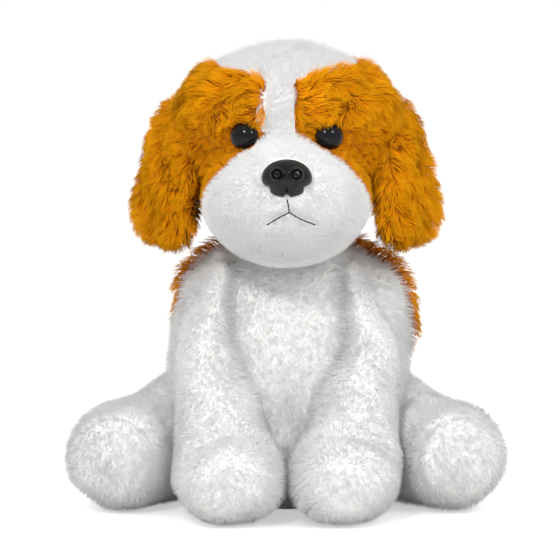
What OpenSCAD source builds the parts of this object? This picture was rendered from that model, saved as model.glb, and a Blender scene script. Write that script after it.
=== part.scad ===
// Sitting plush dog with hanging ears, built as cut-and-sewn pile panels over
// stuffing. Millimetres, +Z up, the dog faces -Y. The origin is the centre of
// the flat seat, on the surface that the dog sits on.

/* [Cloth] */
// Thickness of the pile cloth, backing and flattened pile together
cloth = 2.5; // [1.5:0.5:4]
// Half the gap left for each sewn seam on the head, in degrees seen from its middle
seam_gap = 1.1; // [0.8:0.1:1.4]
// Clearance between the cloth and the stuffing behind it
fill_gap = 1.6; // [1.2:0.1:2.4]

/* [Body] */
// Half width of the body at its widest, low down
body_half_w = 75; // [70:1:80]
// Height of the body from the seat to the neck seam
body_h = 164; // [160:1:168]
// Half width of the flat seat panel
seat_half_w = 52; // [45:1:55]

/* [Head] */
// Half width of the skull
skull_half_w = 61; // [58:1:64]
// Half height of the skull
skull_half_h = 60.5; // [58:0.5:62]
// Half width of the muzzle
muzzle_half_w = 50; // [46:1:54]
// Diameter of each eye
eye_d = 17.5; // [14:0.5:18]
// Width of the nose
nose_w = 30; // [26:1:34]

/* [Ears] */
// Length of each ear from its root to its tip
ear_len = 86; // [80:1:92]
// Half width of each ear
ear_half_w = 27; // [24:1:30]
// Half thickness of each ear
ear_half_t = 8.5; // [7:0.5:10]

/* [Legs] */
// Half width of each front paw
paw_half_w = 34.5; // [31:0.5:35]
// Half width of each hind foot
foot_half_w = 35; // [31:1:36]

/* [Detail] */
// Rows of facets along a limb
rows = 12; // [10:1:16]
// Facets round a full turn of a limb
around = 18; // [16:2:24]

/* [Hidden] */
white = "#f2f1ec";
orange = "#e0930f";
filling = "#fbfbf6";
black = "#14110f";
clear_plastic = "#dcdcd4";
thread = "#23201e";
pellets = "#cfd6dc";

// Layer depths, measured inwards from the outer face of the cloth
fill_depth = cloth + fill_gap;
leg_clear = 2.0;
// More clearance where the cloth turns inwards sharply
bend_gap = 0.8;

// Joint centres
neck_at = [0, -26, 174];
neck_ball_r = 19;
shoulder_at = [40, -30, 124];
hip_at = [50, 8, 44];
front_swing = 60;
hind_splay = 30;
ear_at = [62, -27, 245];
ear_axis = [-0.6, -0.8, 0];
ear_lift = 70;

// Body rings from the seat to the neck: height, middle along Y, half width, half depth
body_rings = [
    [0, 0, body_half_w - 20, 50],
    [10, 1, body_half_w - 7, 59],
    [40, 1, body_half_w, 62],
    [80, -3, body_half_w - 3, 57],
    [118, -8, body_half_w - 8, 49],
    [143, -10, body_half_w - 15, 38],
    [157, -15, body_half_w - 32.5, 24],
    [body_h, -20, body_half_w - 53, 16]
];

// Head: the middle that its surface is measured from, and its two rounded masses
head_mid = [0, -26, 211];
skull_at = [0, -28, 224.5];
skull_r = [skull_half_w, 60, skull_half_h];
muzzle_at = [0, -66, 194];
muzzle_r = [muzzle_half_w, 60, 41];
blend_k = 2.5;
// Rounded swellings on both sides, the brow then the temple: turn, rise, height, spread
swellings = [[33, 34, 4, 20], [80, 33, 8, 26]];

ear_top = 250;
// Limb spines, for the right side: X, Y, Z, half width, half depth
front_leg_line = [
    [36.5, -28, 150, 13, 18],
    [43, -34, 124, 15.5, 21],
    [48, -42, 98, 18.5, 23],
    [43, -50, 72, 24, 25],
    [39.5, -62, 44, paw_half_w - 5.5, 28],
    [35, -86, 28, paw_half_w, 30],
    [34, -122, 27.5, paw_half_w, 29.5]
];
hind_leg_line = [
    [38, 19, 43, 34, 40],
    [59, 9, 42, 35, 40],
    [81, -10, 34, 34, 34],
    [98, -36, 33.5, foot_half_w, 33],
    [107.5, -70, 34.5, foot_half_w, 34.5]
];
ear_line = [
    [61, -27, ear_top, 18, 7.5],
    [67, -29, ear_top - ear_len * 0.22, 22.5, ear_half_t],
    [70.5, -32, ear_top - ear_len * 0.47, ear_half_w - 1, ear_half_t],
    [74, -34, ear_top - ear_len * 0.76, ear_half_w + 3, ear_half_t],
    [76, -33, ear_top - ear_len, ear_half_w, ear_half_t]
];
tail_line = [
    [0, 63.8, 24, 8, 8],
    [1, 75, 24, 11, 11],
    [5, 90, 28, 13, 13],
    [10, 103, 38, 12, 12],
    [14, 111, 48, 10, 10]
];
limb_square = 3.4;
ear_face = [0.80, -0.60, 0];
front_ref = [0, -1, 0.35];
level_ref = [0, 0, 1];

// ---- Numbers and points -------------------------------------------------

function unit(v) = v / norm(v);
function xyz(v) = [v[0], v[1], v[2]];
function clamp01(x) = min(max(x, 0), 1);
// Rises smoothly from 0 at a to 1 at b
function rise(a, b, x) = let (f = clamp01((x - a) / (b - a))) f * f * (3 - 2 * f);
// The smooth curve through a list of rows, at f between row p1 and row p2
function curve(p0, p1, p2, p3, f) =
    0.5 * (2 * p1 + (p2 - p0) * f + (2 * p0 - 5 * p1 + 4 * p2 - p3) * f * f
        + (3 * p1 - p0 - 3 * p2 + p3) * f * f * f);
function along(list, s) =
    let (last = len(list) - 1, i = max(min(floor(s * last), last - 1), 0))
    curve(list[max(i - 1, 0)], list[i], list[i + 1], list[min(i + 2, last)], s * last - i);
function path_length(list, i = 0) =
    i >= len(list) - 1 ? 0 : norm(xyz(list[i + 1]) - xyz(list[i])) + path_length(list, i + 1);

// A limb's surface at s along it and at an angle round it, a depth under the
// cloth's outer face: an ellipse across the spine, closed at both ends by a
// superellipse profile.
function limb(line, ref, s, angle, depth) =
    let (
        q = depth / path_length(line),
        at = along(line, q + s * (1 - 2 * q)),
        ahead = xyz(along(line, min(s + 0.02, 1))) - xyz(along(line, max(s - 0.02, 0))),
        side = unit(cross(ahead, ref)),
        up = unit(cross(side, ahead)),
        taper = pow(max(1 - pow(abs(2 * s - 1), limb_square), 0), 1 / limb_square)
    )
    xyz(at) + side * (at[3] - depth) * taper * cos(angle) + up * (at[4] - depth) * taper * sin(angle);

// The row of a limb's grid, closer together near its two ends
function row_at(f) = (1 - cos(180 * f)) / 2;

// How far a ray from head_mid goes to leave an ellipsoid that holds head_mid
function ray_out(dir, mid, r) =
    let (
        p = [for (i = [0:2]) (head_mid[i] - mid[i]) / r[i]],
        d = [for (i = [0:2]) dir[i] / r[i]],
        a = d * d,
        b = p * d,
        c = p * p - 1
    )
    (sqrt(b * b - a * c) - b) / a;
// The direction at an angle from the front towards the right, and at a rise
function heading(turn, lift) = [sin(turn) * cos(lift), -cos(turn) * cos(lift), sin(lift)];
function swelling(dir, side, form) =
    let (off = acos(clamp01(dir * heading(side * form[0], form[1]))))
    form[2] * exp(-pow(off / form[3], 2));
// Distance from head_mid to the head's surface: the larger of the skull and the
// muzzle, rounded where they meet, with the brows and temples standing proud.
function head_radius(dir) =
    let (
        skull = ray_out(dir, skull_at, skull_r),
        muzzle = ray_out(dir, muzzle_at, muzzle_r)
    )
    max(skull, muzzle) + blend_k * ln(1 + exp(-abs(skull - muzzle) / blend_k))
        + swelling(dir, 1, swellings[0]) + swelling(dir, -1, swellings[0])
        + swelling(dir, 1, swellings[1]) + swelling(dir, -1, swellings[1]);
function head(turn, lift, depth) =
    let (dir = heading(turn, lift))
    head_mid + dir * (head_radius(dir) - depth);
// Half the angle that the white front strip takes at each rise: the muzzle's
// width below, a narrow blaze between the eyes, and the crown's width above.
function strip_half(lift) =
    lift < 20
        ? min(9 + 47 * sqrt(max(1 - pow((lift + 40) / 60, 2), 0)), 9 + 1.05 * (20 - lift))
        : 9 + 80 * rise(44, 66, lift);
// Half the angle of the white strip down the back of the head
function nape_half(lift) = 24 + 65 * rise(40, 66, lift);

// The filling is fuller behind the right shoulder: how far, the angle and height of its middle, and both spreads
fuller = [13, 15, 124, 38, 36];
function fuller_by(angle, z) =
    let (off = (angle - fuller[1] + 540) % 360 - 180)
    fuller[0] * exp(-pow(off / fuller[3], 2) - pow((z - fuller[2]) / fuller[4], 2));
// The body's surface at s up it and at an angle from its right side
function body_point(s, angle, depth) =
    let (
        ring = along(body_rings, s),
        less = depth - fuller_by(angle, ring[0])
    )
    [(ring[2] - less) * cos(angle), ring[1] + (ring[3] - less) * sin(angle), ring[0]];

// ---- Solids from two-way grids -------------------------------------------

// A thick sheet between an outer and an inner face, each a function of a and b
// from 0 to 1. A shut end is one where all of that row's points meet in one.
module sheet(outer, inner, na, nb, shut_start = false, shut_end = false) {
    width = nb + 1;
    layer = width * (na + 1);
    grid = [for (face = [outer, inner], i = [0:na], j = [0:nb]) face(i / na, j / nb)];
    column = function (i, j) (i == 0 && shut_start) || (i == na && shut_end) ? 0 : j;
    at = function (k, i, j) k * layer + i * width + column(i, j);
    skins = [for (i = [0:na - 1], j = [0:nb - 1], k = [0, 1])
        let (
            a = at(k, i, j),
            b = at(k, i, j + 1),
            c = at(k, i + 1, j + 1),
            d = at(k, i + 1, j)
        )
        each k == 0 ? [[a, b, c], [a, c, d]] : [[a, c, b], [a, d, c]]];
    sides = [for (i = [0:na - 1], j = [0, nb])
        let (
            a = at(0, i, j),
            b = at(0, i + 1, j),
            c = at(1, i + 1, j),
            d = at(1, i, j)
        )
        each j == 0 ? [[a, c, d], [a, b, c]] : [[a, d, c], [a, c, b]]];
    ends = [for (j = [0:nb - 1], i = [if (!shut_start) 0, if (!shut_end) na])
        let (
            a = at(0, i, j),
            b = at(0, i, j + 1),
            c = at(1, i, j + 1),
            d = at(1, i, j)
        )
        each i == 0 ? [[a, c, b], [a, d, c]] : [[a, b, c], [a, c, d]]];
    polyhedron(grid, [for (f = concat(skins, sides, ends))
        if (f[0] != f[1] && f[1] != f[2] && f[2] != f[0]) f]);
}

// A closed solid of rings: rings 0 and n are one point each
module ringed(ring, n, m) {
    points = [ring(0, 0), for (i = [1:n - 1], j = [0:m - 1]) ring(i / n, j / m), ring(1, 0)];
    at = function (i, j) 1 + (i - 1) * m + j % m;
    last = len(points) - 1;
    polyhedron(points, [
        for (j = [0:m - 1]) [0, at(1, j + 1), at(1, j)],
        for (i = [1:n - 2], j = [0:m - 1])
            each [[at(i, j), at(i + 1, j + 1), at(i + 1, j)], [at(i, j), at(i, j + 1), at(i + 1, j + 1)]],
        for (j = [0:m - 1]) [at(n - 1, j), at(n - 1, j + 1), last]
    ]);
}

// Cuts the later shapes from the first one, as one faceted solid
module trimmed() {
    resize([0, 0, 0])
        difference() {
            children(0);
            children([1:$children - 1]);
        }
}

module left() {
    mirror([1, 0, 0]) children();
}

// ---- Body ----------------------------------------------------------------

module body_sheet(from, to, columns = 7, top = 0.985) {
    sheet(
        function (a, b) body_point(0.02 + (top - 0.02) * a, to + (from - to) * b, 0),
        function (a, b) body_point(0.02 + (top - 0.02) * a, to + (from - to) * b, cloth),
        10, columns
    );
}

// Room for both pairs of legs over their whole travel
module leg_rooms() {
    for (side = [0, 1]) {
        mirror([side, 0, 0]) {
            for (turn = [0:15:front_swing])
                turned(shoulder_at, [-1, 0, 0], turn) leg_room(front_leg_line, front_ref);
            for (turn = [0:15:hind_splay])
                turned(hip_at, [0, 0, 1], turn) leg_room(hind_leg_line, level_ref);
        }
    }
}

// A limb grown all round by its clearance
module leg_room(line, ref) {
    ringed(function (a, b) limb(line, ref, row_at(a), 360 * b, -leg_clear), 2 * rows, around);
}

// Room for both ears over their whole lift
module ear_rooms() {
    for (side = [0, 1]) {
        mirror([side, 0, 0]) {
            for (turn = [0:14:ear_lift])
                turned(ear_at, ear_axis, turn) leg_room(ear_line, ear_face);
        }
    }
}

// Turns a shape about an axis through a point
module turned(at, axis, angle) {
    translate(at) rotate(a = angle, v = axis) translate(-at) children();
}

module back_panel() {
    color(orange) trimmed() { body_sheet(-8, 188, 10); leg_rooms(); }
}
module chest_panel() {
    color(white) trimmed() { body_sheet(238, 302); leg_rooms(); }
}
module right_flank_panel() {
    color(white) trimmed() { body_sheet(303, 351, 6); leg_rooms(); }
}
module left_flank_panel() {
    color(white) trimmed() { body_sheet(189, 237, 6); leg_rooms(); }
}

module seat_panel() {
    count = 48;
    color(white)
        linear_extrude(cloth)
            polygon([for (i = [0:count - 1])
                [seat_half_w * cos(360 * i / count), 0.9 * seat_half_w * sin(360 * i / count)]]);
}

// The filling above the pouch, flat under the neck
module body_stuffing() {
    start = 0.17;
    color(filling)
        trimmed() {
            ringed(
                function (a, b)
                    let (s = start + (0.985 - start) * rise(0, 1, clamp01((a - 0.12) / 0.76)))
                    let (shrink = min(clamp01(a / 0.12), clamp01((1 - a) / 0.12)))
                    let (mid = [0, along(body_rings, s)[1], along(body_rings, s)[0]])
                    mid + shrink * (body_point(s, -360 * b, fill_depth + bend_gap) - mid),
                13, 20
            );
            leg_rooms();
            pouch_form(-0.6);
        }
}

// A flattened bag of pellets: a round cushion with a crowned top and base
module pouch_form(depth) {
    ringed(
        function (a, b)
            let (turn = 180 * a, r = pow(sin(turn), 0.6), rise_z = -cos(turn))
            [(44 - depth) * r * cos(360 * b), -(38 - depth) * r * sin(360 * b),
                13.5 + (10 - depth) * rise_z],
        8, 20
    );
}
module pellet_pouch() {
    color(pellets) trimmed() { pouch_form(0); leg_rooms(); }
}

// One short bar of thread, standing on the cloth, from one point to another
module bar(from, to, r) {
    dir = to - from;
    translate(from)
        rotate([0, acos(dir[2] / norm(dir)), atan2(dir[1], dir[0])])
            cylinder(h = norm(dir), r = r, $fn = 6);
}

// The slip stitches that close the opening low on the back
module closing_stitches() {
    count = 9;
    color(thread)
        for (i = [0:count - 1]) {
            s = 0.30 + 0.026 * i;
            bar(body_point(s, 88.5, -0.9), body_point(s + 0.006, 91.5, -0.9), 0.45);
        }
}

// ---- Neck ----------------------------------------------------------------

// A plug of filling with a ball on top, which the head turns and nods on
module neck_stuffing() {
    base = body_h + 0.5 - neck_at[2];
    steps = 9;
    profile = [
        [0, base],
        [neck_ball_r - 3, base],
        for (i = [0:steps]) let (lift = -28 + (90 + 28) * i / steps)
            [neck_ball_r * cos(lift), neck_ball_r * sin(lift)]
    ];
    color(filling) translate(neck_at) rotate_extrude($fn = 32) polygon(profile);
}

// The ladder stitch round the neck, one turn of thread under the head's edge
module neck_seam_thread() {
    ring_r = neck_ball_r + 1.4;
    color(thread) translate([neck_at[0], neck_at[1], body_h + 2])
        rotate_extrude($fn = 32) translate([ring_r, 0]) circle(0.6, $fn = 8);
}

// ---- Head ----------------------------------------------------------------

module head_sheet(half_from, half_to, lift_from, lift_to, na, nb, thick = cloth) {
    face = function (a, b, depth)
        let (lift = lift_from + (lift_to - lift_from) * a)
        head(half_from(lift) + (half_to(lift) - half_from(lift)) * b, lift, depth);
    sheet(function (a, b) face(a, 1 - b, 0), function (a, b) face(a, 1 - b, thick), na, nb);
}

// Where the eye and the nose sit, and the way that each looks
eye_turn = 23;
eye_lift = 18.5;
nose_lift = -0.5;
eye_at = head(eye_turn, eye_lift, 0);
eye_look = unit([0.20, -1, 0.10]);
nose_at = head(0, nose_lift, 0);
nose_look = [0, -1, 0];
shank_r = 2.4;
shank_len = 14;
washer_r = 7;

// Turns +Z to a direction and moves to a point
module facing(at, look) {
    translate(at)
        rotate([0, acos(look[2]), atan2(look[1], look[0])])
            children();
}
// Room for an eye's dome and shank, and for the nose, with clearance all round
module eye_room() {
    facing(eye_at, eye_look) translate([0, 0, -0.4]) cylinder(h = 20, r = eye_d / 2 + 0.6, $fn = 24);
    shank_room(eye_at, eye_look);
}
module nose_room() {
    nose_form(0.6);
    shank_room(nose_at, nose_look);
}
// Holes for a shank and for its washer
module shank_room(at, look) {
    facing(at, look)
        translate([0, 0, -shank_len - 2]) cylinder(h = shank_len + 4, r = shank_r + 0.2, $fn = 12);
}
module washer_room(at, look) {
    facing(at, look)
        translate([0, 0, -shank_len - 2]) cylinder(h = shank_len - 2, r = washer_r + 0.8, $fn = 12);
}

module right_head_panel() {
    color(orange)
        trimmed() {
            head_sheet(
                function (lift) strip_half(lift) + seam_gap,
                function (lift) 180 - nape_half(lift) - seam_gap,
                -60, 63, 22, 11
            );
            eye_room();
            ear_rooms();
        }
}
module left_head_panel() {
    left() right_head_panel();
}
module forehead_gusset() {
    color(white)
        trimmed() {
            head_sheet(
                function (lift) seam_gap - strip_half(lift),
                function (lift) strip_half(lift) - seam_gap,
                21, 87, 14, 6
            );
            eye_room();
            left() eye_room();
        }
}
module crown_panel() {
    color(white)
        trimmed() {
            head_sheet(
                function (lift) 180 - nape_half(lift) + seam_gap,
                function (lift) 180 + nape_half(lift) - seam_gap,
                -60, 87, 22, 6
            );
            ear_rooms();
        }
}
module right_muzzle_panel() {
    color(white)
        trimmed() {
            head_sheet(
                function (lift) seam_gap,
                function (lift) strip_half(lift) - seam_gap,
                -36, 19.5, 12, 8
            );
            nose_room();
            eye_room();
        }
}
module left_muzzle_panel() {
    left() right_muzzle_panel();
}
module chin_panel() {
    color(white)
        head_sheet(
            function (lift) 2 * seam_gap - strip_half(lift),
            function (lift) strip_half(lift) - 2 * seam_gap,
            -64, -37.5, 6, 12
        );
}

// Filling, hollowed underneath for the ball of the neck and round each washer
module head_stuffing() {
    room = neck_ball_r + 2;
    drop = head_mid - neck_at;
    // Where a ray from head_mid first meets the neck's ball, or very far away
    ball = function (dir)
        let (b = drop * dir, c = drop * drop - room * room, root = b * b - c)
        b < 0 && root > 0 ? -b - sqrt(root) : 1000;
    color(filling)
        trimmed() {
            ringed(
                function (a, b)
                    let (dir = heading(-360 * b, -90 + 180 * a))
                    head_mid + dir * min(head_radius(dir) - fill_depth - bend_gap, ball(dir)),
                24, 30
            );
            for (side = [0, 1]) {
                mirror([side, 0, 0]) {
                    eye_room();
                    washer_room(eye_at, eye_look);
                }
            }
            nose_room();
            washer_room(nose_at, nose_look);
            ear_rooms();
        }
}

// A safety eye: a glossy dome on a ribbed shank
module right_eye() {
    r = eye_d / 2;
    steps = 8;
    rib = 0.25;
    dome = [for (i = [0:steps]) let (t = 90 * i / steps) [r * cos(t), 0.6 + r * 0.72 * sin(t)]];
    shank = [for (i = [0:4]) let (z = -3 - 2.2 * i) each [[shank_r - rib, z + 0.4], [shank_r, z - 0.4]]];
    color(black) facing(eye_at, eye_look)
        rotate_extrude($fn = 32)
            polygon(concat([[0, -shank_len]], [for (i = [len(shank) - 1:-1:0]) shank[i]],
                [[shank_r - rib, 0.15], [r, 0.15]], dome));
}
module left_eye() {
    left() right_eye();
}
module lock_washer() {
    translate([0, 0, -9])
        difference() {
            cylinder(h = 1.2, r = washer_r, $fn = 12);
            translate([0, 0, -1]) cylinder(h = 4, r = shank_r + 0.1, $fn = 12);
        }
}
module right_eye_washer() {
    color(clear_plastic) facing(eye_at, eye_look) lock_washer();
}
module left_eye_washer() {
    left() right_eye_washer();
}
module nose_washer() {
    color(clear_plastic) facing(nose_at, nose_look) lock_washer();
}

// The outside of the nose: broad above, narrowing to two lobes, grown by an amount
module nose_form(grow) {
    half = nose_w / 2;
    hull() {
        for (side = [-1, 1]) {
            translate(nose_at + [side * (half - 7), -1, 3.5])
                scale([1, 0.75, 0.95]) sphere(7 + grow, $fn = 20);
            translate(nose_at + [side * (half - 9.5), -0.5, -5.5])
                scale([1, 0.75, 1]) sphere(5.5 + grow, $fn = 16);
        }
        translate(nose_at + [0, -3, 1]) sphere(6.5 + grow, $fn = 16);
    }
}
// A moulded nose on its shank
module nose() {
    color(black)
        resize([0, 0, 0]) union() {
            nose_form(0);
            facing(nose_at, nose_look)
                translate([0, 0, -shank_len]) cylinder(h = shank_len, r = shank_r, $fn = 12);
        }
}

// Thread laid on the muzzle: down from the nose, then out to both sides
module mouth_stitching() {
    fork = [0.8, -12.3];
    steps = 4;
    color(thread)
        for (ends = [
            [[0, -8.5], fork + [0, 0.6]],
            [fork + [-0.6, -0.3], [-6.7, -17]],
            [fork + [0.6, -0.3], [10, -17.2]]
        ])
            for (i = [0:steps - 1]) {
                from = ends[0] + (ends[1] - ends[0]) * i / steps;
                to = ends[0] + (ends[1] - ends[0]) * (i + 0.82) / steps;
                bar(head(from[0], from[1], -0.8), head(to[0], to[1], -0.8), 0.4);
            }
}

// ---- Limbs -----------------------------------------------------------------

// The whole outside of a limb, as a closed solid, at a depth under the cloth
module leg_form(line, ref, depth) {
    ringed(function (a, b) limb(line, ref, row_at(a), 360 * b, depth), rows, around);
}

// One panel of a limb, between two angles that may change along it
module limb_panel(line, ref, angle_from, angle_to, s_from = 0, s_to = 1, nb = 8) {
    face = function (a, b, depth)
        let (s = s_from + (s_to - s_from) * row_at(a))
        limb(line, ref, s, angle_from(s) + (angle_to(s) - angle_from(s)) * b, depth);
    sheet(function (a, b) face(a, b, 0), function (a, b) face(a, b, cloth), rows, nb,
        shut_start = s_from == 0, shut_end = s_to == 1);
}

// Half the angle of the sole under a front paw
function sole_half(s) = 44 * rise(0.60, 0.72, s);
seam_turn = 1.6;
front_bottom = 270;

module right_front_leg_outer() {
    color(white)
        limb_panel(front_leg_line, front_ref,
            function (s) 90 + seam_turn, function (s) front_bottom - sole_half(s) - seam_turn);
}
module right_front_leg_inner() {
    color(white)
        limb_panel(front_leg_line, front_ref,
            function (s) front_bottom + sole_half(s) + seam_turn, function (s) 450 - seam_turn);
}
module right_front_paw_sole() {
    color(white)
        limb_panel(front_leg_line, front_ref,
            function (s) front_bottom - sole_half(s) + seam_turn,
            function (s) front_bottom + sole_half(s) - seam_turn, 0.68, 0.99, 5);
}
module right_front_leg_stuffing() {
    color(filling) leg_form(front_leg_line, front_ref, fill_depth + 2 * bend_gap);
}
module left_front_leg_outer() {
    left() right_front_leg_outer();
}
module left_front_leg_inner() {
    left() right_front_leg_inner();
}
module left_front_paw_sole() {
    left() right_front_paw_sole();
}
module left_front_leg_stuffing() {
    left() right_front_leg_stuffing();
}

sole_start = 0.93;
module right_hind_leg_upper() {
    color(white)
        limb_panel(hind_leg_line, level_ref,
            function (s) seam_turn, function (s) 180 - seam_turn, 0, sole_start);
}
module right_hind_leg_under() {
    color(white)
        limb_panel(hind_leg_line, level_ref,
            function (s) 180 + seam_turn, function (s) 360 - seam_turn, 0, sole_start);
}
// The oval at the end of the foot, which faces forwards
module right_hind_sole() {
    rim = sole_start + 0.004;
    face = function (a, b, depth) limb(hind_leg_line, level_ref, rim + (1 - rim) * a, 360 * b, depth);
    color(white) cap(face, 4, around);
}
module right_hind_leg_stuffing() {
    color(filling) leg_form(hind_leg_line, level_ref, fill_depth);
}
module left_hind_leg_upper() {
    left() right_hind_leg_upper();
}
module left_hind_leg_under() {
    left() right_hind_leg_under();
}
module left_hind_sole() {
    left() right_hind_sole();
}
module left_hind_leg_stuffing() {
    left() right_hind_leg_stuffing();
}

// A thick cap of rings that closes in a point
module cap(face, n, m) {
    outer = [for (i = [0:n - 1], j = [0:m - 1]) face(i / n, j / m, 0), face(1, 0, 0)];
    inner = [for (i = [0:n - 1], j = [0:m - 1]) face(i / n, j / m, cloth), face(1, 0, cloth)];
    shift = len(outer);
    at = function (i, j) i * m + j % m;
    tip = n * m;
    polyhedron(concat(outer, inner), [
        for (i = [0:n - 2], j = [0:m - 1])
            each [
                [at(i, j), at(i + 1, j + 1), at(i + 1, j)],
                [at(i, j), at(i, j + 1), at(i + 1, j + 1)],
                [shift + at(i, j), shift + at(i + 1, j), shift + at(i + 1, j + 1)],
                [shift + at(i, j), shift + at(i + 1, j + 1), shift + at(i, j + 1)]
            ],
        for (j = [0:m - 1])
            each [
                [at(n - 1, j), at(n - 1, j + 1), tip],
                [shift + at(n - 1, j), shift + tip, shift + at(n - 1, j + 1)],
                [at(0, j), shift + at(0, j + 1), at(0, j + 1)],
                [at(0, j), shift + at(0, j), shift + at(0, j + 1)]
            ]
    ]);
}

// ---- Ears and tail -----------------------------------------------------------

module right_ear_outer() {
    color(orange)
        limb_panel(ear_line, ear_face, function (s) seam_turn, function (s) 180 - seam_turn);
}
module right_ear_lining() {
    color(orange)
        limb_panel(ear_line, ear_face, function (s) 180 + seam_turn, function (s) 360 - seam_turn);
}
module right_ear_wadding() {
    color(filling) leg_form(ear_line, ear_face, fill_depth);
}
module left_ear_outer() {
    left() right_ear_outer();
}
module left_ear_lining() {
    left() right_ear_lining();
}
module left_ear_wadding() {
    left() right_ear_wadding();
}

module tail_upper() {
    color(orange)
        limb_panel(tail_line, level_ref, function (s) seam_turn, function (s) 180 - seam_turn);
}
module tail_under() {
    color(orange)
        limb_panel(tail_line, level_ref, function (s) 180 + seam_turn, function (s) 360 - seam_turn);
}
module tail_stuffing() {
    color(filling) leg_form(tail_line, level_ref, fill_depth);
}

back_panel();
chest_panel();
left_flank_panel();
right_flank_panel();
seat_panel();
body_stuffing();
pellet_pouch();
closing_stitches();
neck_stuffing();
neck_seam_thread();
forehead_gusset();
crown_panel();
left_head_panel();
right_head_panel();
left_muzzle_panel();
right_muzzle_panel();
chin_panel();
head_stuffing();
left_eye();
right_eye();
left_eye_washer();
right_eye_washer();
nose();
nose_washer();
mouth_stitching();
left_ear_outer();
left_ear_lining();
left_ear_wadding();
right_ear_outer();
right_ear_lining();
right_ear_wadding();
left_front_leg_outer();
left_front_leg_inner();
left_front_paw_sole();
left_front_leg_stuffing();
right_front_leg_outer();
right_front_leg_inner();
right_front_paw_sole();
right_front_leg_stuffing();
left_hind_leg_upper();
left_hind_leg_under();
left_hind_sole();
left_hind_leg_stuffing();
right_hind_leg_upper();
right_hind_leg_under();
right_hind_sole();
right_hind_leg_stuffing();
tail_upper();
tail_under();
tail_stuffing();
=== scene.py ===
"""Sitting plush dog: fur, skins, eyes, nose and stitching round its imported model.

Shapes are worked out in millimetres and put into meshes in metres. The dog
faces -Y, +Z is up, and side is +1 for the dog's part at +X and -1 at -X.
"""

import math

import bpy
import numpy as np
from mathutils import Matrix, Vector


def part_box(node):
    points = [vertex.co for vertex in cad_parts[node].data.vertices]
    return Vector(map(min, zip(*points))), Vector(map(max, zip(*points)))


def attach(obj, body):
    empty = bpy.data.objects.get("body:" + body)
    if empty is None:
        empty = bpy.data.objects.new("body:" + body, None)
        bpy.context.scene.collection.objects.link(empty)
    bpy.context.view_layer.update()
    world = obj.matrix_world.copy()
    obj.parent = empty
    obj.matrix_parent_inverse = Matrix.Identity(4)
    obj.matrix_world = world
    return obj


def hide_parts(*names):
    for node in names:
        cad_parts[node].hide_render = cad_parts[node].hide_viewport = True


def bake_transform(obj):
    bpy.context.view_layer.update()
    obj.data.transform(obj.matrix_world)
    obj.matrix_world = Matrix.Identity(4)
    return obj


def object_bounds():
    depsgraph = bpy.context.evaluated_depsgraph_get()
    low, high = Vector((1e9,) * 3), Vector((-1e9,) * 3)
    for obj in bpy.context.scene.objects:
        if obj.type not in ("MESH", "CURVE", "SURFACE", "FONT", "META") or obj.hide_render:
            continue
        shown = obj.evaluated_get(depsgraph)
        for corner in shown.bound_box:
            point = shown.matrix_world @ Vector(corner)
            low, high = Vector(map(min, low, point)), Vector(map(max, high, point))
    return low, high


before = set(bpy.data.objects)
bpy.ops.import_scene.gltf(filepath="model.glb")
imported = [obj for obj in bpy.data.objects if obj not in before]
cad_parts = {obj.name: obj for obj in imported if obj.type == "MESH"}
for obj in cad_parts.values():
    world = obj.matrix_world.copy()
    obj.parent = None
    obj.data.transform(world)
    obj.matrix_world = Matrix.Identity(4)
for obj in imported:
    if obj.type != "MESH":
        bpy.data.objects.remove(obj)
cad_low, cad_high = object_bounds()

MM = 0.001
TURN = 2 * math.pi
STRAND_MAP = "OFBake"


# ---- Camera ---------------------------------------------------------------

CAMERA_TILT = math.radians(6)
CAMERA_AWAY = 2.2


def make_camera():
    """A long lens, a little above the dog: (0, -cos tilt, sin tilt) times its distance back from its aim."""
    middle = (cad_low + cad_high) / 2
    aim = middle + Vector((-0.004, -0.043, 0))
    data = bpy.data.cameras.new("camera")
    data.sensor_width = 36
    data.lens = 233.0
    camera = bpy.data.objects.new("camera", data)
    camera.location = aim + Vector((0, -math.cos(CAMERA_TILT), math.sin(CAMERA_TILT))) * CAMERA_AWAY
    camera.rotation_mode = "QUATERNION"
    camera.rotation_quaternion = (aim - camera.location).to_track_quat("-Z", "Y")
    bpy.context.scene.collection.objects.link(camera)
    bpy.context.scene.camera = camera


make_camera()


# ---- Numbers ----------------------------------------------------------------

def unit(v):
    """v / |v|, along the last axis."""
    return v / np.maximum(np.linalg.norm(v, axis=-1, keepdims=True), 1e-9)


def rise(start, end, x):
    """Smooth step: f f (3 - 2 f), where f runs from 0 at start to 1 at end."""
    f = np.clip((x - start) / (end - start), 0, 1)
    return f * f * (3 - 2 * f)


def mix(a, b, share):
    """a (1 - share) + b share, for rows of vectors and one share for each row."""
    share = np.asarray(share)[..., None]
    return np.asarray(a, float) * (1 - share) + np.asarray(b, float) * share


def along(rows, s):
    """Catmull-Rom curve through rows, at s from 0 at the first row to 1 at the last."""
    last = len(rows) - 1
    i = np.clip(np.floor(s * last).astype(int), 0, last - 1)
    f = (s * last - i)[..., None]
    p0, p1 = rows[np.maximum(i - 1, 0)], rows[i]
    p2, p3 = rows[i + 1], rows[np.minimum(i + 2, last)]
    return 0.5 * (2 * p1 + (p2 - p0) * f + (2 * p0 - 5 * p1 + 4 * p2 - p3) * f**2
                  + (3 * p1 - p0 - 3 * p2 + p3) * f**3)


def waves(p, size, seed):
    """Smooth lumps from -1 to 1: the mean of six sines, each along its own direction, about one size long."""
    rng = np.random.default_rng(seed)
    total = 0.0
    headings, phases, stretches = unit(rng.normal(size=(6, 3))), rng.random(6), rng.uniform(0.7, 1.4, 6)
    for direction, phase, stretch in zip(headings, phases, stretches):
        total = total + np.sin(TURN * (p @ direction / (size * stretch) + phase))
    return total / 3.2


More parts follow.
